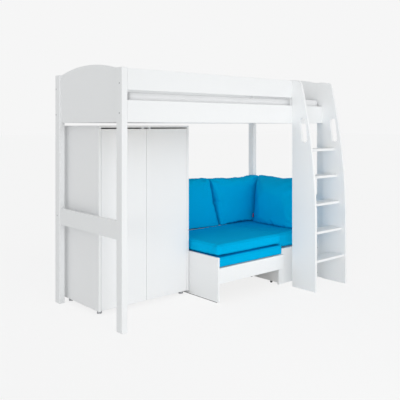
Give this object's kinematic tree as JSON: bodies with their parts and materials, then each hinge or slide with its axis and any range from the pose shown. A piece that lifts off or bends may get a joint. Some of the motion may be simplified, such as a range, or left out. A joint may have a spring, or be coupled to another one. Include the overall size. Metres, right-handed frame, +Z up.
{
  "type": "high sleeper bed",
  "caption": "High sleeper bed with arched end panels and a curved ladder, a two-door wardrobe and a pull-out corner seat with blue cushions underneath",
  "frame": {"origin": "centre of the footprint on the floor, ladder included", "axes": "+X along the bed from the wardrobe end to the ladder end, +Y towards the back, +Z up"},
  "size_m": [2.2, 1.264, 1.866],
  "materials": {
    "white_paint": "satin white lacquer",
    "white_board": "matt white melamine",
    "blue_fabric": "bright blue woven cotton",
    "mattress_fabric": "white knitted ticking",
    "bare_wood": "bare pine",
    "steel": "satin steel",
    "black_plastic": "matt black"
  },
  "bodies": {
    "frame": {"back_cushion_left": "blue_fabric", "back_cushion_right": "blue_fabric", "bed_slats": "bare_wood", "end_back_cushion": "blue_fabric", "end_seat_cushion": "blue_fabric", "footboard_panel": "white_paint", "guard_rail_back": "white_paint", "guard_rail_front": "white_paint", "guard_upright": "white_paint", "hanging_rail": "steel", "headboard_panel": "white_paint", "ladder_stringer_left": "white_paint", "ladder_stringer_right": "white_paint", "ladder_tread_1": "white_paint", "ladder_tread_2": "white_paint", "ladder_tread_3": "white_paint", "ladder_tread_4": "white_paint", "ladder_tread_5": "white_paint", "ledger_back": "white_paint", "ledger_front": "white_paint", "lower_rail_foot": "white_paint", "lower_rail_head": "white_paint", "mattress": "mattress_fabric", "post_back_left": "white_paint", "post_back_right": "white_paint", "post_front_left": "white_paint", "post_front_right": "white_paint", "rear_ledge": "white_paint", "side_rail_back": "white_paint", "side_rail_front": "white_paint", "unit_back_board": "white_paint", "unit_end_board": "white_paint", "unit_front": "white_paint", "unit_side": "white_paint", "unit_top": "white_paint", "wardrobe_back": "white_board", "wardrobe_bottom": "white_board", "wardrobe_foot_back_left": "steel", "wardrobe_foot_back_right": "steel", "wardrobe_foot_front_left": "steel", "wardrobe_foot_front_right": "steel", "wardrobe_shelf": "white_board", "wardrobe_side_left": "white_board", "wardrobe_side_right": "white_board", "wardrobe_top": "white_board"},
    "left_door": {"door_left": "white_board", "door_left_hinge_bottom": "steel", "door_left_hinge_top": "steel"},
    "right_door": {"door_right": "white_board", "door_right_hinge_bottom": "steel", "door_right_hinge_top": "steel"},
    "pull_out_seat": {"chair_back_rail": "white_paint", "chair_front_rail": "white_paint", "chair_glide": "black_plastic", "chair_leg": "white_paint", "chair_side_left": "white_paint", "chair_side_right": "white_paint", "chair_slats": "bare_wood", "lower_foam": "blue_fabric", "main_seat_cushion": "blue_fabric"}
  },
  "joints": [
    {"name": "left_door_hinge", "type": "hinge", "parent": "frame", "child": "left_door", "pos_m": [-1, 0.081, 0.712], "axis": [0, 0, -1], "range_deg": [0, 90]},
    {"name": "right_door_hinge", "type": "hinge", "parent": "frame", "child": "right_door", "pos_m": [-0.196, 0.081, 0.712], "axis": [0, 0, 1], "range_deg": [0, 90]},
    {"name": "pull_out_slide", "type": "slide", "parent": "frame", "child": "pull_out_seat", "axis": [0, -1, 0], "range_m": [0, 0.65]}
  ]
}
